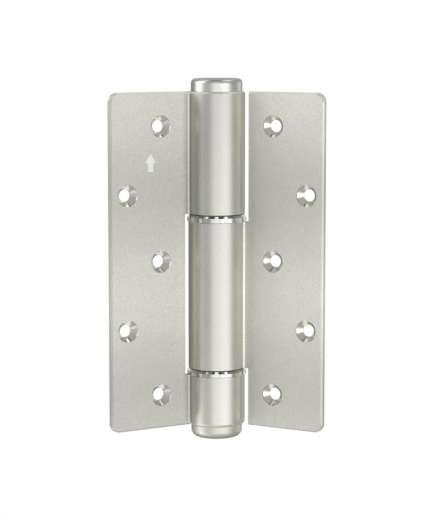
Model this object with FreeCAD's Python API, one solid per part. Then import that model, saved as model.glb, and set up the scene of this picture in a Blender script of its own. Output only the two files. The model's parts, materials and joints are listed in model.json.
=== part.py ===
"""Hydraulic butt hinge: a spring closes the door and an oil damper slows it, both inside the barrel.

Sizes are in millimetres. Every piece is drawn about the pin axis, with z = 0 at half the leaves' height,
and moved at the end so that the origin is the middle of the frame leaf's screw holes, on its back face.
The frame leaf lies along -X and stays fixed. The door leaf is drawn flat, along +X, then folded to rest.
"""
import FreeCAD, Part
import math
import os

# leaves
leaf_height = 150.0
leaf_reach = 52.1
leaf_thickness = 3.2
face_setback = 2.25
corner_radius = 4.0
edge_bevel = 0.7
root_fillet = 1.0
notch_clearance = 1.7
rest_opening = 120.0

# screw holes, in a zigzag of two columns
hole_d = 5.5
sink_d = 9.8
sink_recess = 0.5
inner_column = 27.3
outer_margin = 8.2
hole_pitch = 30.0

# barrel
barrel_r = 12.7
bore_r = 9.0
top_knuckle = 54.35
bottom_knuckle = 22.8
bottom_round = 1.3
keyway_width = 4.0
keyway_depth = 1.3

# joints between the knuckles
ring_overhang = 0.6
upper_ring_height = 3.1
lower_ring_height = 2.65
ring_bevel_height = 0.95
ring_bevel_width = 0.85
ring_lower_bevel = 0.2
washer_thickness = 0.4
washer_inset = 0.35
running_gap = 0.1
neck_r = 6.5

# fits
seat_clearance = 0.05
running_clearance = 0.08
slot_clearance = 0.2

# end caps
cap_inset = 1.25
top_cap_height = 5.7
top_cap_round = 2.0
bottom_cap_height = 5.8
bottom_cap_round = 3.2
cap_spigot = 4.5
cap_wall = 1.55
key_access_d = 5.0

# closing spring and what winds it
bush_length = 10.0
strip_width = 1.0
strip_height = 4.4
spring_turns = 4
flats_per_turn = 24
spring_mean_r = 7.3
spring_end_gap = 0.3
mandrel_r = 5.3
mandrel_bevel = 0.6
tang_depth = 3.2
mandrel_spigot_gap = 1.0
plug_length = 11.6
plug_cap_gap = 2.5
plug_socket = 8.0
plug_socket_depth = 7.0
plug_notches = 6
lock_pin_d = 2.3

# damper cylinder
arbor_flange = 5.0
gland_flange = 3.0
sleeve_bore_r = 7.3
sleeve_end_r = 8.0
sleeve_end_depth = 8.0
spigot_end_gap = 0.3
piston_key_width = 3.0
piston_key_depth = 0.65
spigot_seal = 1.3
spigot_seal_land = 1.0
shaft_seal_wall = 2.0
shaft_seal_length = 3.0

# piston and the helical cam that drives it
piston_length = 14.0
piston_key_length = 6.5
cam_lead = 36.0
piston_seal_width = 2.0
piston_seal_depth = 0.7
piston_seal_land = 2.0
follower_d = 2.2
follower_tip_r = 3.15
follower_inset = 0.15
check_offset_r = 5.75
check_angle = 45.0
check_bore_d = 1.6
check_port_d = 0.8
check_depth = 5.0
check_ball_d = 1.3
check_retainer_length = 1.5

# damper shaft, its anchor and the speed screw
shaft_r = 4.4
shaft_end_gap = 3.0
groove_width = 3.2
groove_floor_r = 2.9
groove_run_out = 2.2
passage_d = 2.0
port_d = 1.4
port_height = 2.0
needle_bore_d = 3.0
screw_bore_d = 4.6
screw_bore_depth = 12.0
shaft_flats = 7.0
anchor_length = 10.2
flats_length = 7.0
anchor_boss_gap = 0.2
nut_height = 4.0
nut_flats = 12.0
shaft_tail = 3.0
needle_cone = 1.2
needle_seat_gap = 0.1
screw_seal = 0.8
screw_seal_land = 1.6
screw_socket = 2.5
screw_socket_depth = 3.0
screw_inset = 0.5

# small overrun that lets a cutting shape pass clear of the face it cuts
over = 1.0

# levels along the pin axis
washer_gap = running_gap + washer_thickness
z_top = leaf_height / 2
z_bottom = -leaf_height / 2
z_upper_face = z_top - top_knuckle
z_middle_top = z_upper_face - washer_gap - upper_ring_height
z_lower_face = z_bottom + bottom_knuckle
z_middle_bottom = z_lower_face + lower_ring_height + washer_gap

# what follows from the sizes above
outer_column = leaf_reach - outer_margin
ring_r = barrel_r + ring_overhang
fitted_r = bore_r - seat_clearance
keyway_r = bore_r + keyway_depth
key_r = keyway_r - seat_clearance
key_width = keyway_width - 2 * seat_clearance
ring_bore_r = neck_r + seat_clearance
cap_r = barrel_r - cap_inset
notch_reach = ring_r + notch_clearance
sleeve_top = z_middle_top - arbor_flange
sleeve_bottom = z_middle_bottom + gland_flange
spigot_r = sleeve_end_r - seat_clearance
arbor_bottom = sleeve_top - sleeve_end_depth + spigot_end_gap
gland_top = sleeve_bottom + sleeve_end_depth - spigot_end_gap
spigot_groove_r = sleeve_end_r - spigot_seal - 2 * seat_clearance
arbor_groove_bottom = sleeve_top - spigot_seal_land - spigot_seal - 2 * seat_clearance
gland_groove_bottom = sleeve_bottom + spigot_seal_land
shaft_seal_r = shaft_r + running_clearance + shaft_seal_wall
shaft_seal_bottom = gland_top - shaft_seal_length
bush_top = z_upper_face + bush_length
plug_top = z_top - cap_spigot - plug_cap_gap
plug_bottom = plug_top - plug_length
coil_bottom = bush_top + spring_end_gap
coil_top = plug_bottom - spring_end_gap
fold = 180.0 - rest_opening
cam_rate = -360.0 / cam_lead
piston_middle = (arbor_bottom + gland_top) / 2 - cam_lead * (rest_opening - 90.0) / 360.0
piston_bottom = piston_middle - piston_length / 2
piston_r = sleeve_bore_r - running_clearance
piston_bore_r = shaft_r + running_clearance
port_z = gland_top + port_height
anchor_bottom = z_lower_face - anchor_length
shaft_bottom = anchor_bottom - nut_height - shaft_tail
screw_bottom = shaft_bottom + screw_inset
screw_bore_top = shaft_bottom + screw_bore_depth

pin_x = (inner_column + outer_column) / 2
pin_y = -(face_setback + leaf_thickness)

origin = FreeCAD.Vector(0, 0, 0)
up = FreeCAD.Vector(0, 0, 1)


def at(x, y, z=0.0):
    return FreeCAD.Vector(x, y, z)


def polar(r, degrees, z=0.0):
    return at(r * math.cos(math.radians(degrees)), r * math.sin(math.radians(degrees)), z)


def rod(r, z0, z1, centre=origin):
    return Part.makeCylinder(r, z1 - z0, at(centre.x, centre.y, z0), up)


def tube(r_outer, r_inner, z0, z1):
    return rod(r_outer, z0, z1).cut(rod(r_inner, z0 - over, z1 + over))


def block(x0, x1, y0, y1, z0, z1):
    return Part.makeBox(x1 - x0, y1 - y0, z1 - z0, at(x0, y0, z0))


def turned(start, *steps):
    """Turn a closed (radius, z) profile about the pin. A step is a point, or an arc's middle and its end."""
    edges = []
    here = at(start[0], 0, start[1])
    for step in steps + (start,):
        if isinstance(step[0], tuple):
            middle, end = (at(r, 0, z) for r, z in step)
            edges.append(Part.Arc(here, middle, end).toShape())
        else:
            end = at(step[0], 0, step[1])
            edges.append(Part.LineSegment(here, end).toShape())
        here = end
    return Part.Face(Part.Wire(edges)).revolve(origin, up, 360)


def prism(across_flats, sides, z0, z1):
    """A regular bar about the pin, sized across its flats."""
    corner_r = across_flats / 2 / math.cos(math.pi / sides)
    corners = [polar(corner_r, 360.0 * (i + 0.5) / sides, z0) for i in range(sides)]
    return Part.Face(Part.makePolygon(corners + corners[:1])).extrude(at(0, 0, z1 - z0))


def pair_of_keys(r_inner, r_outer, width, z0, z1):
    """Two opposite keys, or the tool for two keyways, on the Y axis. Their outer ends follow the circle."""
    bar = block(-width / 2, width / 2, -r_outer - over, r_outer + over, z0, z1)
    return bar.common(tube(r_outer, r_inner, z0, z1))


def turn(shape, degrees):
    """A copy of the shape, turned about the pin."""
    copy = shape.copy()
    copy.rotate(origin, up, degrees)
    return copy


def with_door(shape):
    """A piece drawn for the flat hinge, folded to rest with the door."""
    return turn(shape, -fold)


def leaf_section():
    """The extruded section: a plate that runs into the barrel with a small fillet on each side."""
    front = face_setback
    back = face_setback + leaf_thickness
    reach_r = barrel_r + root_fillet
    front_y = front - root_fillet
    back_y = back + root_fillet
    front_x = -math.sqrt(reach_r ** 2 - front_y ** 2)
    back_x = -math.sqrt(reach_r ** 2 - back_y ** 2)
    share = barrel_r / reach_r
    front_touch = at(front_x * share, front_y * share)
    back_touch = at(back_x * share, back_y * share)

    def fillet(centre, from_point, to_point):
        bisector = (from_point - centre) + (to_point - centre)
        middle = centre + bisector.normalize() * root_fillet
        return Part.Arc(from_point, middle, to_point).toShape()

    front_line_end = at(front_x, front)
    back_line_end = at(back_x, back)
    edges = [
        Part.LineSegment(at(-leaf_reach, front), front_line_end).toShape(),
        fillet(at(front_x, front_y), front_line_end, front_touch),
        Part.Arc(front_touch, at(barrel_r, 0), back_touch).toShape(),
        fillet(at(back_x, back_y), back_touch, back_line_end),
        Part.LineSegment(back_line_end, at(-leaf_reach, back)).toShape(),
        Part.LineSegment(at(-leaf_reach, back), at(-leaf_reach, front)).toShape(),
    ]
    return Part.Face(Part.Wire(edges))


def on_outline(edge):
    """True for the edges of the extrusion's ends and of its rounded outer side."""
    middle = edge.valueAt((edge.FirstParameter + edge.LastParameter) / 2)
    along_thickness = abs(edge.BoundBox.YLength - leaf_thickness) < 1e-6 and edge.BoundBox.XLength < 1e-6
    at_end = edge.BoundBox.ZLength < 1e-6 and abs(abs(middle.z) - leaf_height / 2) < 1e-6
    at_outer_side = middle.x < -leaf_reach + corner_radius + 1e-6
    return (at_end or at_outer_side) and not along_thickness


def leaf_blank():
    blank = leaf_section().extrude(at(0, 0, leaf_height))
    blank.translate(at(0, 0, z_bottom))
    corners = [e for e in blank.Edges if abs(e.BoundBox.XMax + leaf_reach) < 1e-6
               and abs(e.BoundBox.YLength - leaf_thickness) < 1e-6]
    blank = blank.makeFillet(corner_radius, corners)
    return blank.makeChamfer(edge_bevel, [e for e in blank.Edges if on_outline(e)])


def screw_hole(column, z):
    """A through hole with a right-angled countersink, which starts a little below the front face."""
    toward_back = at(0, 1, 0)
    hole_r = hole_d / 2
    sink_r = sink_d / 2
    front = face_setback
    start = at(-column, front - over, z)
    recess = Part.makeCylinder(sink_r, over + sink_recess, start, toward_back)
    sink = Part.makeCone(sink_r, hole_r, sink_r - hole_r, at(-column, front + sink_recess, z), toward_back)
    hole = Part.makeCylinder(hole_r, leaf_thickness + 2 * over, start, toward_back)
    return recess.fuse([sink, hole])


def leaf(gaps):
    """One leaf along -X, with its barrel removed over the height of each gap."""
    body = leaf_blank()
    clear = ring_r + over
    for z0, z1 in gaps:
        body = body.cut(block(-notch_reach, clear, -clear, clear, z0, z1))
    body = body.cut(rod(bore_r, z_bottom - over, z_top + over))
    body = body.cut(pair_of_keys(bore_r - over, keyway_r, keyway_width, z_bottom - over, z_top + over))
    for step in (-2, 0, 2):
        body = body.cut(screw_hole(inner_column, step * hole_pitch))
    for step in (-1, 1):
        body = body.cut(screw_hole(outer_column, step * hole_pitch))
    return body


def frame_leaf():
    body = leaf([(z_lower_face, z_upper_face)])
    r = barrel_r - bottom_round
    centre_z = z_bottom + bottom_round
    middle = (r + bottom_round * math.sqrt(0.5), centre_z - bottom_round * math.sqrt(0.5))
    rim = turned((barrel_r, centre_z), (middle, (r, z_bottom)), (r, z_bottom - over),
                 (barrel_r, z_bottom - over))
    return body.cut(rim)


def door_leaf():
    flat = leaf([(z_middle_top, z_top + over), (z_bottom - over, z_middle_bottom)])
    return with_door(flat.mirror(origin, at(1, 0, 0)))


def cap(height, edge_round):
    """A turned cap with a hollow spigot, drawn with its seat at z = 0 and its head upwards."""
    side_top = height - edge_round
    flat_r = cap_r - edge_round
    arc_middle = (flat_r + edge_round * math.sqrt(0.5), side_top + edge_round * math.sqrt(0.5))
    hollow_r = fitted_r - cap_wall
    return turned((hollow_r, -cap_spigot), (fitted_r, -cap_spigot), (fitted_r, 0), (cap_r, 0),
                  (cap_r, side_top), (arc_middle, (flat_r, height)), (0, height),
                  (0, height - cap_wall), (hollow_r, height - cap_wall))


def top_cap():
    piece = cap(top_cap_height, top_cap_round)
    piece.translate(at(0, 0, z_top))
    return piece


def bottom_cap():
    piece = cap(bottom_cap_height, bottom_cap_round)
    piece = piece.cut(rod(key_access_d / 2, -cap_spigot, bottom_cap_height + over))
    piece = piece.mirror(origin, up)
    piece.translate(at(0, 0, z_bottom))
    return piece


def thrust_ring(z, height):
    """A polished ring that stands a little proud of the barrel, with a wide bevel on its upper edge."""
    z1 = z + height
    return turned((ring_bore_r, z), (ring_r - ring_lower_bevel, z), (ring_r, z + ring_lower_bevel),
                  (ring_r, z1 - ring_bevel_height), (ring_r - ring_bevel_width, z1), (ring_bore_r, z1))


def thrust_washer(z):
    return tube(barrel_r - washer_inset, ring_bore_r, z, z + washer_thickness)


def upper_bush():
    return tube(fitted_r, neck_r + running_clearance, z_upper_face, bush_top)


def tang_slot(z, side):
    """The tool for the slot that takes an end of the spring, which is bent inwards along the X axis."""
    y0, y1 = sorted((0.0, side * strip_width))
    gap = slot_clearance
    return block(tang_depth - gap, spring_mean_r, y0 - gap, y1 + gap, z - gap, z + strip_height + gap)


def strip_section(inside, outside, z):
    """The upright section of the spring strip, between a point on its inner side and one on its outer."""
    lift = at(0, 0, z)
    top = at(0, 0, z + strip_height)
    corners = [inside + lift, outside + lift, outside + top, inside + top]
    return Part.makePolygon(corners + corners[:1])


def torsion_spring():
    """A left-hand coil of flat strip with its ends bent inwards. It winds up tighter as the door opens."""
    inner = spring_mean_r - strip_width / 2
    outer = spring_mean_r + strip_width / 2
    last = spring_turns * flats_per_turn
    upper = coil_top - strip_height
    rise = (upper - coil_bottom) / last
    sections = [strip_section(at(tang_depth, 0), at(tang_depth, strip_width), coil_bottom),
                strip_section(at(inner, 0), at(outer, strip_width), coil_bottom)]
    for i in range(1, last):
        angle = -360.0 * i / flats_per_turn
        sections.append(strip_section(polar(inner, angle), polar(outer, angle), coil_bottom + i * rise))
    sections.append(strip_section(at(inner, 0), at(outer, -strip_width), upper))
    sections.append(strip_section(at(tang_depth, 0), at(tang_depth, -strip_width), upper))
    return Part.makeLoft(sections, True, True)


def spigot_groove(z0):
    """The tool for the seal's groove in a cylinder end, from its lower side at z0."""
    return tube(sleeve_end_r + over, spigot_groove_r, z0, z0 + spigot_seal + 2 * seat_clearance)


def spigot_seal_ring(z0):
    """A seal ring of square section, clear of its groove and of the bore that it seals."""
    return tube(sleeve_end_r - seat_clearance, spigot_groove_r + seat_clearance,
                z0 + seat_clearance, z0 + seat_clearance + spigot_seal)


def spring_arbor():
    """Closes the top of the cylinder, turns in the bush and winds up the lower end of the spring."""
    top = plug_bottom - spring_end_gap - strip_height - mandrel_spigot_gap
    body = turned((0, arbor_bottom), (spigot_r, arbor_bottom), (spigot_r, sleeve_top),
                  (fitted_r, sleeve_top), (fitted_r, z_middle_top), (neck_r, z_middle_top),
                  (neck_r, bush_top), (mandrel_r, bush_top), (mandrel_r, top - mandrel_bevel),
                  (mandrel_r - mandrel_bevel, top), (0, top))
    body = body.cut(spigot_groove(arbor_groove_bottom))
    body = body.fuse(pair_of_keys(fitted_r - over, key_r, key_width, sleeve_top, z_middle_top))
    return with_door(body).cut(tang_slot(coil_bottom, 1))


def tension_plug():
    """Holds the upper end of the spring. A key in its socket winds it, and the lock pin holds it there."""
    spigot_bottom = coil_top - strip_height - slot_clearance
    body = rod(fitted_r, plug_bottom, plug_top).fuse(rod(mandrel_r, spigot_bottom, plug_bottom))
    body = body.cut(prism(plug_socket, 6, plug_top - plug_socket_depth, plug_top + over))
    for i in range(plug_notches):
        centre = polar(bore_r, 90.0 + 360.0 * i / plug_notches)
        notch_r = lock_pin_d / 2 + seat_clearance
        body = body.cut(rod(notch_r, plug_top - plug_socket_depth, plug_top + over, centre))
    return body.cut(tang_slot(coil_top - strip_height, -1)).removeSplitter()


def lock_pin():
    return rod(lock_pin_d / 2, plug_top - plug_socket_depth, plug_top, polar(bore_r, 90.0))


def cylinder_sleeve():
    """The damper's cylinder: keyed to the knuckle and to the piston, and bored out at both ends."""
    body = tube(fitted_r, sleeve_bore_r, sleeve_bottom, sleeve_top)
    body = body.fuse(pair_of_keys(fitted_r - seat_clearance, key_r, key_width, sleeve_bottom, sleeve_top))
    inner_key_r = sleeve_bore_r + piston_key_depth
    body = body.cut(pair_of_keys(sleeve_bore_r - over, inner_key_r, piston_key_width,
                                 sleeve_bottom - over, sleeve_top + over))
    body = body.cut(rod(sleeve_end_r, sleeve_bottom - over, sleeve_bottom + sleeve_end_depth))
    body = body.cut(rod(sleeve_end_r, sleeve_top - sleeve_end_depth, sleeve_top + over))
    return with_door(body.removeSplitter())


def gland():
    """Closes the bottom of the cylinder and guides the damper shaft."""
    hole_r = shaft_r + running_clearance
    pocket_r = shaft_seal_r + seat_clearance
    body = turned((hole_r, z_middle_bottom), (fitted_r, z_middle_bottom), (fitted_r, sleeve_bottom),
                  (spigot_r, sleeve_bottom), (spigot_r, gland_top), (pocket_r, gland_top),
                  (pocket_r, shaft_seal_bottom), (hole_r, shaft_seal_bottom))
    return body.cut(spigot_groove(gland_groove_bottom))


def shaft_seal():
    return tube(shaft_seal_r, shaft_r + running_clearance, shaft_seal_bottom, gland_top)


def piston():
    """Slides in the sleeve, keyed to it, and carries the followers that run in the shaft's grooves."""
    top = piston_bottom + piston_length
    body = tube(piston_r, piston_bore_r, piston_bottom, top)
    inner_key_r = sleeve_bore_r + piston_key_depth - running_clearance
    keys_top = piston_bottom + piston_key_length
    body = body.fuse(pair_of_keys(piston_r - over, inner_key_r, piston_key_width - 2 * running_clearance,
                                  piston_bottom, keys_top))
    groove_top = top - piston_seal_land
    body = body.cut(tube(sleeve_bore_r + over, piston_r - piston_seal_depth,
                         groove_top - piston_seal_width, groove_top))
    for follower in followers(follower_d / 2 + seat_clearance, piston_bore_r - over, piston_r + over):
        body = body.cut(follower)
    centre = polar(check_offset_r, check_angle)
    body = body.cut(rod(check_port_d / 2, piston_bottom - over, top + over, centre))
    body = body.cut(rod(check_bore_d / 2, piston_bottom - over, piston_bottom + check_depth, centre))
    seat_depth = (check_bore_d - check_port_d) / 2
    seat = Part.makeCone(check_bore_d / 2, check_port_d / 2, seat_depth,
                         at(centre.x, centre.y, piston_bottom + check_depth), up)
    return with_door(body.cut(seat).removeSplitter())


def followers(r, inner_r, outer_r):
    """Two radial pins, one on each side of the shaft."""
    pins = []
    for side in (1, -1):
        start = at(side * inner_r, 0, piston_middle)
        pins.append(Part.makeCylinder(r, outer_r - inner_r, start, at(side, 0, 0)))
    return pins


def follower_pins():
    return with_door(Part.makeCompound(followers(follower_d / 2, follower_tip_r, piston_r - follower_inset)))


def piston_seal():
    groove_top = piston_bottom + piston_length - piston_seal_land
    inner = piston_r - piston_seal_depth + seat_clearance
    return tube(sleeve_bore_r - seat_clearance, inner, groove_top - piston_seal_width + seat_clearance,
                groove_top - seat_clearance)


def check_ball():
    """Rests on its retainer, so oil passes freely while the door opens and is stopped while it closes."""
    ball_r = check_ball_d / 2
    z = piston_bottom + check_retainer_length + seat_clearance + ball_r
    return with_door(Part.makeSphere(ball_r, polar(check_offset_r, check_angle, z)))


def check_retainer():
    centre = polar(check_offset_r, check_angle)
    top = piston_bottom + check_retainer_length
    body = rod(check_bore_d / 2 - seat_clearance, piston_bottom, top, centre)
    return with_door(body.cut(rod(check_port_d / 2, piston_bottom - over, top + over, centre)))


def cam_groove(side):
    """The tool for one helical groove: a radial slot that turns about the pin as it rises."""
    half_travel_up = cam_lead * rest_opening / 360.0 + groove_run_out
    half_travel_down = cam_lead * fold / 360.0 + groove_run_out
    z0 = piston_middle - half_travel_down
    length = half_travel_up + half_travel_down
    outer_r = shaft_r + over
    w = groove_width / 2
    corners = [at(groove_floor_r, -w, z0), at(outer_r, -w, z0),
               at(outer_r, w, z0), at(groove_floor_r, w, z0)]
    helix = Part.makeHelix(cam_lead, length, shaft_r, 0, True)
    helix.translate(at(0, 0, z0))
    spine = Part.Wire(Part.LineSegment(at(0, 0, z0), at(0, 0, z0 + length)).toShape())
    sweep = Part.BRepOffsetAPI.MakePipeShell(spine)
    sweep.setAuxiliarySpine(helix, True, 0)
    sweep.add(Part.makePolygon(corners + corners[:1]), False, False)
    sweep.build()
    sweep.makeSolid()
    return turn(sweep.shape(), side - fold - cam_rate * half_travel_down)


def damper_shaft():
    """Held by the anchor. Its helical grooves drive the piston, and its bore carries oil past the needle."""
    top = arbor_bottom - shaft_end_gap
    seat_z = port_z + port_d
    body = rod(shaft_r, shaft_bottom, top)
    for side in (0.0, 180.0):
        body = body.cut(cam_groove(side))
    flats_top = anchor_bottom + flats_length
    for side in (1, -1):
        y0, y1 = sorted((side * shaft_flats / 2, side * (shaft_r + over)))
        body = body.cut(block(-shaft_r - over, shaft_r + over, y0, y1, shaft_bottom - over, flats_top))
    body = body.cut(rod(passage_d / 2, shaft_bottom - over, top + over))
    seat_drop = (needle_bore_d - passage_d) / 2
    body = body.cut(rod(needle_bore_d / 2, shaft_bottom - over, seat_z - seat_drop))
    seat_start = at(0, 0, seat_z - seat_drop)
    body = body.cut(Part.makeCone(needle_bore_d / 2, passage_d / 2, seat_drop, seat_start, up))
    body = body.cut(rod(screw_bore_d / 2, shaft_bottom - over, screw_bore_top))
    port = Part.makeCylinder(port_d / 2, 2 * (shaft_r + over), at(-shaft_r - over, 0, port_z), at(1, 0, 0))
    return body.cut(port)


def anchor_plug():
    """Keyed in the bottom knuckle. Its boss centres the lower ring, and its flats stop the shaft turning."""
    boss_top = z_lower_face + lower_ring_height - anchor_boss_gap
    body = rod(fitted_r, anchor_bottom, z_lower_face).fuse(rod(neck_r, z_lower_face, boss_top))
    body = body.fuse(pair_of_keys(fitted_r - over, key_r, key_width, anchor_bottom, z_lower_face))
    hole_r = shaft_r + seat_clearance
    flats_top = anchor_bottom + flats_length
    round_hole = rod(hole_r, flats_top, boss_top + over)
    half_flats = shaft_flats / 2 + seat_clearance
    slab = block(-hole_r - over, hole_r + over, -half_flats, half_flats, anchor_bottom - over, flats_top)
    flat_hole = rod(hole_r, anchor_bottom - over, flats_top).common(slab)
    return body.cut(round_hole).cut(flat_hole).removeSplitter()


def shaft_nut():
    body = prism(nut_flats, 6, anchor_bottom - nut_height, anchor_bottom)
    return body.cut(rod(shaft_r + seat_clearance, anchor_bottom - nut_height - over, anchor_bottom + over))


def screw_seal_levels():
    """Bottom and top of the groove for the speed screw's seal."""
    top = screw_bore_top - screw_seal_land
    return top - screw_seal - 2 * seat_clearance, top


def speed_screw():
    """A needle that narrows the oil passage, turned by a hex key through the bottom cap."""
    body_r = screw_bore_d / 2 - running_clearance
    stem_r = needle_bore_d / 2 - running_clearance
    groove_r = screw_bore_d / 2 - screw_seal - 2 * seat_clearance
    tip_z = port_z + port_d - needle_seat_gap - (needle_bore_d - passage_d) / 2
    z0, z1 = screw_seal_levels()
    shoulder = screw_bore_top - needle_seat_gap
    body = turned((0, screw_bottom), (body_r, screw_bottom), (body_r, z0), (groove_r, z0), (groove_r, z1),
                  (body_r, z1), (body_r, shoulder), (stem_r, shoulder), (stem_r, tip_z - needle_cone),
                  (0, tip_z))
    return body.cut(prism(screw_socket, 6, screw_bottom - over, screw_bottom + screw_socket_depth))


def speed_screw_seal():
    z0, z1 = screw_seal_levels()
    outer_r = screw_bore_d / 2 - seat_clearance
    return tube(outer_r, outer_r - screw_seal, z0 + seat_clearance, z1 - seat_clearance)


pieces = {
    "frame_leaf": frame_leaf(),
    "door_leaf": door_leaf(),
    "top_cap": top_cap(),
    "bottom_cap": bottom_cap(),
    "upper_ring": thrust_ring(z_middle_top, upper_ring_height),
    "upper_washer": thrust_washer(z_middle_top + upper_ring_height),
    "lower_ring": thrust_ring(z_lower_face, lower_ring_height),
    "lower_washer": thrust_washer(z_lower_face + lower_ring_height),
    "upper_bush": upper_bush(),
    "torsion_spring": torsion_spring(),
    "spring_arbor": spring_arbor(),
    "arbor_seal": spigot_seal_ring(arbor_groove_bottom),
    "tension_plug": tension_plug(),
    "lock_pin": lock_pin(),
    "cylinder_sleeve": cylinder_sleeve(),
    "gland": gland(),
    "gland_seal": spigot_seal_ring(gland_groove_bottom),
    "shaft_seal": shaft_seal(),
    "piston": piston(),
    "piston_seal": piston_seal(),
    "follower_pins": follower_pins(),
    "check_ball": check_ball(),
    "check_retainer": check_retainer(),
    "damper_shaft": damper_shaft(),
    "anchor_plug": anchor_plug(),
    "shaft_nut": shaft_nut(),
    "speed_screw": speed_screw(),
    "speed_screw_seal": speed_screw_seal(),
}

os.makedirs("parts", exist_ok=True)
for name, shape in pieces.items():
    placed = shape.copy()
    placed.translate(at(pin_x, pin_y))
    placed.exportStep(f"parts/{name}.step")
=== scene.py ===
"""Looks for the hydraulic butt hinge: sandblasted aluminium leaves, polished rings and a white studio."""

import json
import math

import bmesh
import bpy
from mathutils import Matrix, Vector


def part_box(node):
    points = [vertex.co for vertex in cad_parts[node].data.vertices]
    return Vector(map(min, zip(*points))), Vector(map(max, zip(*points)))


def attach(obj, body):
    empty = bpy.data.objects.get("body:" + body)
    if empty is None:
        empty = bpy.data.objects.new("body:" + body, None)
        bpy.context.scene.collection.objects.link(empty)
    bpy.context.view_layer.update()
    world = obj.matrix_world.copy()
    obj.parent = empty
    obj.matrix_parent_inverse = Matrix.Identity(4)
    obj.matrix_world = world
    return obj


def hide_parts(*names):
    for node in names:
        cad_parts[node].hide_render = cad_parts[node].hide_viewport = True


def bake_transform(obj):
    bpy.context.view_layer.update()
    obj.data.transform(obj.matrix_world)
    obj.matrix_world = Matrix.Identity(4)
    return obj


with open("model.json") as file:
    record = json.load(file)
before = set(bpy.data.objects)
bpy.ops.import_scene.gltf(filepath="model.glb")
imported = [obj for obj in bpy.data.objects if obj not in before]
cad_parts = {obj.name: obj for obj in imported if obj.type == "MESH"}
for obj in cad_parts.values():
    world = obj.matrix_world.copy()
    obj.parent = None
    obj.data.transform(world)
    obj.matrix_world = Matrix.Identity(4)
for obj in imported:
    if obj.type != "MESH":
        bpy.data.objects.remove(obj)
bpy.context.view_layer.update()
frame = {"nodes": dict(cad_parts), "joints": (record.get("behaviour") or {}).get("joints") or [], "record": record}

MM = 0.001
nodes = frame["nodes"]
record = frame["record"]

# the pin, and the way from it to the camera, which looks into the open V of the leaves
pin = Vector(next(joint for joint in frame["joints"] if joint["name"] == "leaf_swing")["pos_m"])
opening = math.radians(120)
toward = Vector((math.cos(math.pi + opening / 2), math.sin(math.pi + opening / 2), 0))
side = Vector((-toward.y, toward.x, 0))
up = Vector((0, 0, 1))

# sizes of the hinge that the finishes and the pieces made here follow
leaf_height = 150 * MM
barrel_r = 12.7 * MM
leaf_thickness = 3.2 * MM
sink_r = 4.9 * MM
strip_width = 1.0 * MM
strip_height = 4.4 * MM
spring_mean_r = 7.3 * MM
spring_turns = 4
spring_tang = 3.2 * MM

# the grain of blasting, broad faint clouds on it, and the rings that a cutter leaves
blast_grain = 0.5 * MM
cloud_size = 9 * MM
cloud_depth = 0.015
ring_pitch = 0.35 * MM
ring_depth = 0.05
dull_depth = 0.07

# how far the roughness of metal, and of rubber, polymer and print, varies
metal_roughness_depth = 0.03
dull_roughness_depth = 0.05

# most of a noise lies between these values
noise_range = (0.3, 0.7)

# painted light and shade: soft level stripes of reflected light painted across the leaves
painted_band_pitch = 88 * MM
painted_band_middle = -14.5 * MM
painted_band_depth = 0.115

# the oxide on the aluminium dulls what it mirrors at a grazing angle
edge_tint = (0.3, 0.3, 0.25)

# painted shade: the barrel is darker beside its own leaf, where the leaf shades it
painted_corner_tone = 0.84
painted_corner_reach = math.radians(38)

# painted light and shade: the barrel's tone at the lower and the upper end of the leaves, lighter below and darker
# above, as the light falls
barrel_painted_fade = (1.08, 0.92)

# painted light: the tone of each leaf beside the barrel, lighter there against the shade the barrel casts, and the
# distances from the pin over which it fades
root_painted_lights = {"frame": 1.03, "door": 1.4}
painted_light_start = 14 * MM
painted_light_end = 21 * MM


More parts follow.
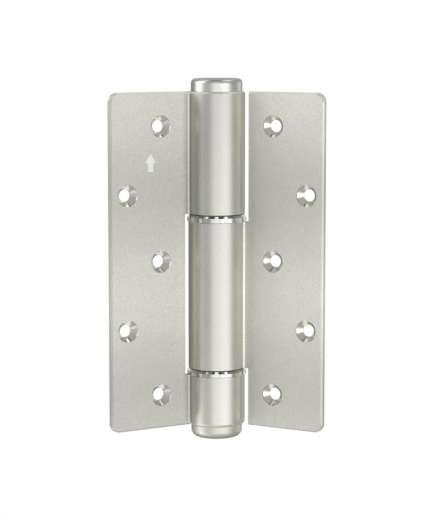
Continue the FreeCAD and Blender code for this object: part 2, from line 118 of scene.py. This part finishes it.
class Finish:
    """A Principled material whose patterns are read in the part's own coordinates."""

    def __init__(self, name, colour, metallic, roughness):
        self.material = bpy.data.materials.new(name)
        self.material.use_nodes = True
        self.tree = self.material.node_tree
        self.shader = self.tree.nodes["Principled BSDF"]
        self.place = self.add("ShaderNodeTexCoord").outputs["Object"]
        self.colour = colour
        self.roughness = roughness
        self.set("Metallic", metallic)
        self.set("Roughness", roughness)
        self.set("Base Color", (*colour, 1))

    def add(self, kind, **settings):
        node = self.tree.nodes.new(kind)
        for key, value in settings.items():
            setattr(node, key, value)
        return node

    def link(self, source, target):
        self.tree.links.new(source, target)

    def set(self, socket, value):
        self.shader.inputs[socket].default_value = value

    def math(self, operation, *values):
        """The result of one sum. A value is a number or a socket."""
        node = self.add("ShaderNodeMath", operation=operation)
        for socket, value in zip(node.inputs, values):
            if isinstance(value, (int, float)):
                socket.default_value = value
            else:
                self.link(value, socket)
        return node.outputs[0]

    def noise(self, size):
        """Noise from 0 to 1 with lumps of about this size, in metres."""
        node = self.add("ShaderNodeTexNoise")
        node.inputs["Scale"].default_value = 1 / size
        self.link(self.place, node.inputs["Vector"])
        return node.outputs["Fac"]

    def along(self, direction, place):
        """How far a place lies along this direction."""
        node = self.add("ShaderNodeVectorMath", operation="DOT_PRODUCT")
        node.inputs[1].default_value = direction
        self.link(place, node.inputs[0])
        return node.outputs["Value"]

    def height(self):
        """The height above the hinge's middle, in metres."""
        return self.along(up, self.place)

    def from_pin(self):
        """The level way from the pin's axis to the surface."""
        offset = self.add("ShaderNodeVectorMath", operation="SUBTRACT")
        offset.inputs[1].default_value = pin
        self.link(self.place, offset.inputs[0])
        level = self.add("ShaderNodeVectorMath", operation="MULTIPLY")
        level.inputs[1].default_value = (1, 1, 0)
        self.link(offset.outputs["Vector"], level.inputs[0])
        return level.outputs["Vector"]

    def painted_corner_shade(self, root):
        """Painted shade: less than 1 on the barrel beside the leaf that leaves it in this direction, where that
        leaf shades it.
        """
        outward = self.add("ShaderNodeVectorMath", operation="NORMALIZE")
        self.link(self.from_pin(), outward.inputs[0])
        facing = self.along(root, outward.outputs["Vector"])
        return self.remap(facing, (math.cos(painted_corner_reach), 1), (1, painted_corner_tone))

    def painted_light_beside_barrel(self, root_painted_light):
        """Painted light: this tone on a leaf beside the barrel, against the barrel's shade there, and 1 farther
        out.
        """
        distance = self.add("ShaderNodeVectorMath", operation="LENGTH")
        self.link(self.from_pin(), distance.inputs[0])
        return self.remap(distance.outputs["Value"], (painted_light_start, painted_light_end), (root_painted_light, 1))

    def painted_light_bands(self):
        """Painted light and shade: soft level stripes of reflected light about a tone of 1."""
        turns = self.math("MULTIPLY_ADD", self.height(), 1 / painted_band_pitch, -painted_band_middle / painted_band_pitch)
        wave = self.math("COSINE", self.math("MULTIPLY", turns, math.tau))
        return self.math("MULTIPLY_ADD", wave, painted_band_depth, 1.0)

    def fade(self):
        """Painted light and shade: the tone that changes from one end of the barrel to the other, lighter below
        and darker above.
        """
        return self.remap(self.height(), (-leaf_height / 2, leaf_height / 2), barrel_painted_fade)

    def rings(self):
        """Uneven level rings, as a cutter leaves them, from 0 to 1."""
        node = self.add("ShaderNodeTexNoise", noise_dimensions="1D")
        node.inputs["Scale"].default_value = 1 / ring_pitch
        node.inputs["Detail"].default_value = 3.0
        self.link(self.height(), node.inputs["W"])
        return node.outputs["Fac"]

    def remap(self, value, source, target):
        """Maps a value from one range to another, and keeps it within that."""
        node = self.add("ShaderNodeMapRange")
        node.inputs["From Min"].default_value, node.inputs["From Max"].default_value = source
        node.inputs["To Min"].default_value, node.inputs["To Max"].default_value = target
        self.link(value, node.inputs["Value"])
        return node.outputs["Result"]

    def spread(self, noise, middle, depth):
        """Maps a noise to the range from the middle less the depth to the middle and the depth."""
        return self.remap(noise, noise_range, (middle - depth, middle + depth))

    def shade(self, *tones):
        """Multiplies the colour by each of these tones."""
        tone = tones[0]
        for other in tones[1:]:
            tone = self.math("MULTIPLY", tone, other)
        node = self.add("ShaderNodeVectorMath", operation="SCALE")
        node.inputs[0].default_value = self.colour
        self.link(tone, node.inputs["Scale"])
        self.link(node.outputs["Vector"], self.shader.inputs["Base Color"])

    def vary_roughness(self, noise, depth):
        self.link(self.spread(noise, self.roughness, depth), self.shader.inputs["Roughness"])

    def bump(self, noise, depth):
        node = self.add("ShaderNodeBump")
        node.inputs["Distance"].default_value = depth
        self.link(noise, node.inputs["Height"])
        self.link(node.outputs["Normal"], self.shader.inputs["Normal"])


def sandblasted(name, colour, roughness, depth, mottle, root_painted_light=None, root=None):
    """Anodised aluminium with the fine even grain of blasting.

    With a root tone it has a leaf's painted stripes of reflected light and painted light beside the barrel, and
    with a root direction a barrel's painted shade beside its leaf and its painted change of tone from end to end.
    """
    finish = Finish(name, colour, 1.0, roughness)
    finish.set("Specular Tint", (*edge_tint, 1))
    fine = finish.noise(blast_grain)
    tones = [finish.spread(fine, 1, mottle), finish.spread(finish.noise(cloud_size), 1, cloud_depth)]
    if root_painted_light is not None:
        # painted light and shade on a leaf: level stripes of reflected light, and painted light beside the barrel
        tones += [finish.painted_light_bands(), finish.painted_light_beside_barrel(root_painted_light)]
    if root is not None:
        # painted shade on the barrel beside its leaf, and a painted change of tone from one end to the other
        tones += [finish.painted_corner_shade(root), finish.fade()]
    finish.shade(*tones)
    finish.vary_roughness(fine, metal_roughness_depth)
    finish.bump(fine, depth)
    return finish.material


def turned(name, colour, roughness, depth=0.004 * MM):
    """Machined metal with the fine rings that a cutter leaves."""
    finish = Finish(name, colour, 1.0, roughness)
    rings = finish.rings()
    finish.shade(finish.spread(rings, 1, ring_depth))
    finish.vary_roughness(rings, metal_roughness_depth)
    finish.bump(rings, depth)
    return finish.material


def dull(name, colour, roughness, grain, depth, glow=0.0):
    """Rubber, polymer or print: no metal, with a fine mottle. A glow is painted light that makes bright white ink
    brighter than the lamps alone make it.
    """
    finish = Finish(name, colour, 0.0, roughness)
    finish.set("Emission Color", (*colour, 1))
    finish.set("Emission Strength", glow)
    mottle = finish.noise(grain)
    finish.shade(finish.spread(mottle, 1, dull_depth))
    finish.vary_roughness(mottle, dull_roughness_depth)
    finish.bump(mottle, depth)
    return finish.material


top_cap_finish = sandblasted("bright_cap", (0.70, 0.70, 0.665), 0.30, 0.002 * MM, 0.07)
bottom_cap_finish = sandblasted("satin_cap", (0.72, 0.70, 0.63), 0.44, 0.012 * MM, 0.06)
ring_finish = turned("mirror_ring", (0.62, 0.62, 0.60), 0.05, depth=0.0004 * MM)
# painted highlight: the bevels get a brighter colour than the leaf for the light they catch
bevel_highlight_finish = sandblasted("bevel_painted_highlight", (0.95, 0.94, 0.88), 0.5, 0.01 * MM, 0.05)
# painted light: the white print glows a little, so it shows brighter than the leaf
print_with_painted_glow = dull("white_print_painted_glow", (0.95, 0.955, 0.94), 0.5, 0.35 * MM, 0.004 * MM, glow=0.1)

slot_finishes = {
    "cap_aluminium": bottom_cap_finish,
    "polished_ring": ring_finish,
    "thrust_washer": dull("dark_washer", (0.03, 0.03, 0.03), 0.45, 0.3 * MM, 0.004 * MM),
    "bush_polymer": dull("bush_plastic", (0.62, 0.58, 0.48), 0.42, 0.4 * MM, 0.006 * MM),
    "spring_steel": turned("oiled_spring", (0.36, 0.36, 0.38), 0.34),
    "turned_steel": turned("lathe_steel", (0.58, 0.57, 0.56), 0.26),
    "piston_brass": turned("lathe_brass", (0.78, 0.58, 0.28), 0.26),
    "piston_ring": dull("ring_plastic", (0.10, 0.09, 0.08), 0.40, 0.3 * MM, 0.004 * MM),
    "seal_rubber": dull("black_rubber", (0.022, 0.022, 0.024), 0.55, 0.25 * MM, 0.006 * MM),
}


def screw_holes(leaf):
    """A point on the axis of each screw hole of a leaf, and the axes' direction, from the mounts."""
    points = []
    for mount in record["mounts"]:
        if mount["kind"] == "bolt_pattern" and mount["name"].startswith(leaf):
            axis = Vector(mount["axis"])
            reach = mount["dims"]["pcd_mm"] / 2 * MM * up
            points += [Vector(mount["pos_m"]) - reach, Vector(mount["pos_m"]) + reach]
    return points, axis


def dress_leaf(node, leaf):
    """Satin with painted shade on the barrel, satin with painted stripes of light on the leaf, bare metal in the
    screw holes and a painted highlight on the bevels.
    """
    on_barrel, on_flat, in_sink, on_bevel = range(4)
    slack = 0.1 * MM
    flat_facing = 0.98
    bevel_facing = 0.3
    points, axis = screw_holes(leaf)
    root = sum(points, Vector()) / len(points) - pin
    root.z = 0
    # painted shade on the barrel beside its leaf, and a painted change of tone along it
    barrel = sandblasted("satin_barrel_painted_shade_" + leaf, (0.65, 0.645, 0.598), 0.37, 0.016 * MM, 0.08,
                         root=root.normalized())
    # painted stripes of reflected light on the leaf, and painted light beside the barrel
    flat = sandblasted("satin_leaf_painted_light_" + leaf, (0.662, 0.653, 0.601), 0.42, 0.022 * MM, 0.13,
                       root_painted_light=root_painted_lights[leaf])
    bare = sandblasted("bare_sink_" + leaf, (0.84, 0.83, 0.765), 0.2, 0.0005 * MM, 0.04)
    mesh = nodes[node].data
    mesh.materials.clear()
    for finish in (barrel, flat, bare, bevel_highlight_finish):
        mesh.materials.append(finish)
    for polygon in mesh.polygons:
        to_hole = min((polygon.center - point).cross(axis).length for point in points)
        on_face = abs(polygon.normal.dot(axis)) > flat_facing
        if to_hole < sink_r and not on_face:
            polygon.material_index = in_sink
        # the bevels, which carry a painted highlight
        elif bevel_facing < abs(polygon.normal.z) < flat_facing:
            polygon.material_index = on_bevel
        elif (polygon.center - pin).xy.length > barrel_r + slack:
            polygon.material_index = on_flat
        else:
            polygon.material_index = on_barrel


def dress_nodes():
    dress_leaf("frame_leaf", "frame")
    dress_leaf("door_leaf", "door")
    for name, node in nodes.items():
        if name not in ("frame_leaf", "door_leaf"):
            for slot in node.material_slots:
                slot.material = slot_finishes[slot.material.name]
    nodes["top_cap"].material_slots[0].material = top_cap_finish


def new_object(name, shape, finish):
    mesh = bpy.data.meshes.new(name)
    shape.to_mesh(mesh)
    shape.free()
    mesh.materials.append(finish)
    piece = bpy.data.objects.new(name, mesh)
    bpy.context.scene.collection.objects.link(piece)
    return piece


def up_arrow():
    """The printed arrow that says which end of the hinge is up."""
    height = 8.0 * MM
    head_height = 4.0 * MM
    head_width = 5.5 * MM
    stem_width = 2.65 * MM
    ink = 0.03 * MM
    x = pin.x - 32.3 * MM
    z = 40.1 * MM
    shoulder = height - head_height
    right_half = [(stem_width / 2, 0), (stem_width / 2, shoulder), (head_width / 2, shoulder)]
    outline = right_half + [(0, height)] + [(-across, above) for across, above in reversed(right_half)]
    shape = bmesh.new()
    face = shape.faces.new([shape.verts.new((x + a, -leaf_thickness, z + b)) for a, b in outline])
    raised = bmesh.ops.extrude_face_region(shape, geom=[face])["geom"]
    corners = [item for item in raised if isinstance(item, bmesh.types.BMVert)]
    bmesh.ops.translate(shape, vec=(0, -ink, 0), verts=corners)
    bmesh.ops.recalc_face_normals(shape, faces=shape.faces)
    piece = new_object("up_arrow", shape, print_with_painted_glow)
    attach(piece, "frame_side")


def spring_path(bottom, top):
    """Points along the middle of the spring strip, seen from above, and the strip's direction there."""
    steps_per_turn = 72
    bend_steps = 6
    bend_r = 1.2 * MM
    offset = strip_width / 2
    bend_x = spring_mean_r - bend_r
    bend_y = bend_r - offset
    start = math.asin(bend_y / spring_mean_r)
    path = [(Vector((spring_tang, offset, bottom)), Vector((1, 0, 0)))]
    for i in range(bend_steps):
        turn = math.pi / 2 * i / bend_steps
        spot = Vector((bend_x + bend_r * math.sin(turn), bend_r * math.cos(turn) - bend_y, bottom))
        path.append((spot, Vector((math.cos(turn), -math.sin(turn), 0))))
    steps = spring_turns * steps_per_turn
    sweep = spring_turns * math.tau - 2 * start
    for i in range(steps + 1):
        turn = -start - sweep * i / steps
        height = bottom + (top - bottom) * i / steps
        spot = Vector((spring_mean_r * math.cos(turn), spring_mean_r * math.sin(turn), height))
        path.append((spot, Vector((math.sin(turn), -math.cos(turn), 0))))
    for i in range(1, bend_steps + 1):
        turn = math.pi / 2 * i / bend_steps
        spot = Vector((bend_x + bend_r * math.cos(turn), bend_y - bend_r * math.sin(turn), top))
        path.append((spot, Vector((-math.sin(turn), -math.cos(turn), 0))))
    path.append((Vector((spring_tang, -offset, top)), Vector((-1, 0, 0))))
    return path


def torsion_spring():
    """The closing spring: a coil of flat strip with rounded edges, made here in one fixed shape; on the real hinge
    it winds up as the door turns.
    """
    edge = 0.18 * MM
    low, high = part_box("torsion_spring")
    half = strip_width / 2
    section = [(-half, edge), (-half + edge, 0), (half - edge, 0), (half, edge)]
    section += [(across, strip_height - above) for across, above in reversed(section)]
    axis = Vector((pin.x, pin.y, 0))
    shape = bmesh.new()
    loops = []
    for spot, direction in spring_path(low.z, high.z - strip_height):
        across = Vector((direction.y, -direction.x, 0))
        loops.append([shape.verts.new(axis + spot + across * a + up * b) for a, b in section])
    for first, second in zip(loops, loops[1:]):
        for i in range(len(section)):
            j = (i + 1) % len(section)
            shape.faces.new((first[i], first[j], second[j], second[i]))
    shape.faces.new(loops[0])
    shape.faces.new(loops[-1])
    bmesh.ops.recalc_face_normals(shape, faces=shape.faces)
    piece = new_object("wound_spring", shape, slot_finishes["spring_steel"])
    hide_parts("torsion_spring")
    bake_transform(piece)


def studio_direction(right, above):
    """The direction from the hinge at these angles to the right of the camera and above the horizon."""
    flat = math.cos(math.radians(right)) * toward + math.sin(math.radians(right)) * side
    return math.cos(math.radians(above)) * flat + math.sin(math.radians(above)) * up


# soft light panels round the hinge: degrees right of the camera, degrees up, half width, soft edge, strength,
# where a strength below zero is a black flag that takes light away
panels = {
    "front": (0, -6, 16, 14, 0.7),
    "front_low": (4, -25, 16, 12, 0.25),
    "key": (41, -6, 14, 12, 1.1),
    "key_low": (46, -26, 12, 10, 0.15),
    "gap": (-42, -8, 8, 10, 0.1),
    "low_left": (-48, -36, 10, 12, 0.6),
    "left": (-74, -8, 10, 7, 0.45),
    "left_high": (-80, 24, 12, 8, 2.2),
    "left_back": (-89, 10, 12, 7, 3.0),
    "left_low": (-78, -27, 9, 8, 2.0),
    "high_left": (-92, 60, 9, 5, 1.0),
    "high_right": (88, 60, 11, 5, 1.2),
    "overhead": (0, 75.5, 4, 2, 1.3),
    "dark_ceiling": (0, 86, 13, 10, -0.36),
    "back_right": (130, -5, 16, 12, 0.6),
    "back": (180, 25, 22, 20, 0.55),
}
ambient = 0.42


def studio_light():
    """The light that the metal mirrors: soft panels in a dim room."""
    world = bpy.data.worlds.new("studio")
    world.use_nodes = True
    bpy.context.scene.world = world
    tree = world.node_tree
    place = tree.nodes.new("ShaderNodeTexCoord").outputs["Generated"]
    total = None
    for right, above, half_width, edge, strength in panels.values():
        dot = tree.nodes.new("ShaderNodeVectorMath")
        dot.operation = "DOT_PRODUCT"
        dot.inputs[1].default_value = studio_direction(right, above)
        tree.links.new(place, dot.inputs[0])
        glow = tree.nodes.new("ShaderNodeMapRange")
        glow.interpolation_type = "SMOOTHSTEP"
        glow.inputs["From Min"].default_value = math.cos(math.radians(half_width + edge))
        glow.inputs["From Max"].default_value = math.cos(math.radians(half_width))
        glow.inputs["To Max"].default_value = strength
        tree.links.new(dot.outputs["Value"], glow.inputs["Value"])
        add = tree.nodes.new("ShaderNodeMath")
        add.inputs[1].default_value = ambient
        tree.links.new(glow.outputs["Result"], add.inputs[0])
        if total is not None:
            tree.links.new(total, add.inputs[1])
        total = add.outputs[0]
    light = tree.nodes["Background"]
    light.inputs["Color"].default_value = (1, 1, 1, 1)
    tree.links.new(total, light.inputs["Strength"])


def show_to_camera_only(piece):
    piece.visible_diffuse = False
    piece.visible_glossy = False
    piece.visible_transmission = False
    piece.visible_volume_scatter = False
    piece.visible_shadow = False


def white_surround():
    """A backdrop all round, so bright that the picture shows the hinge on plain white from any side."""
    material = bpy.data.materials.new("white_surround")
    material.use_nodes = True
    tree = material.node_tree
    tree.nodes.remove(tree.nodes["Principled BSDF"])
    glow = tree.nodes.new("ShaderNodeEmission")
    tree.links.new(glow.outputs[0], tree.nodes["Material Output"].inputs["Surface"])
    material.cycles.emission_sampling = "NONE"
    reach = 6.0
    shape = bmesh.new()
    bmesh.ops.create_icosphere(shape, subdivisions=3, radius=reach)
    backdrop = new_object("backdrop", shape, material)
    show_to_camera_only(backdrop)


def camera():
    """At the photograph's viewing point, a little above the hinge's middle."""
    distance = 843.2 * MM
    sideways = -5.81 * MM
    height = 105 * MM
    yaw = math.radians(-30.391)
    pitch = math.radians(-7.082)
    data = bpy.data.cameras.new("camera")
    data.sensor_width = 36
    data.lens = 131.85
    eye = bpy.data.objects.new("camera", data)
    eye.location = pin + distance * toward + sideways * side + height * up
    eye.rotation_euler = (math.pi / 2 + pitch, 0, yaw)
    bpy.context.scene.collection.objects.link(eye)
    bpy.context.scene.camera = eye


dress_nodes()
up_arrow()
torsion_spring()
studio_light()
white_surround()
camera()
bpy.context.scene.view_settings.view_transform = "Standard"
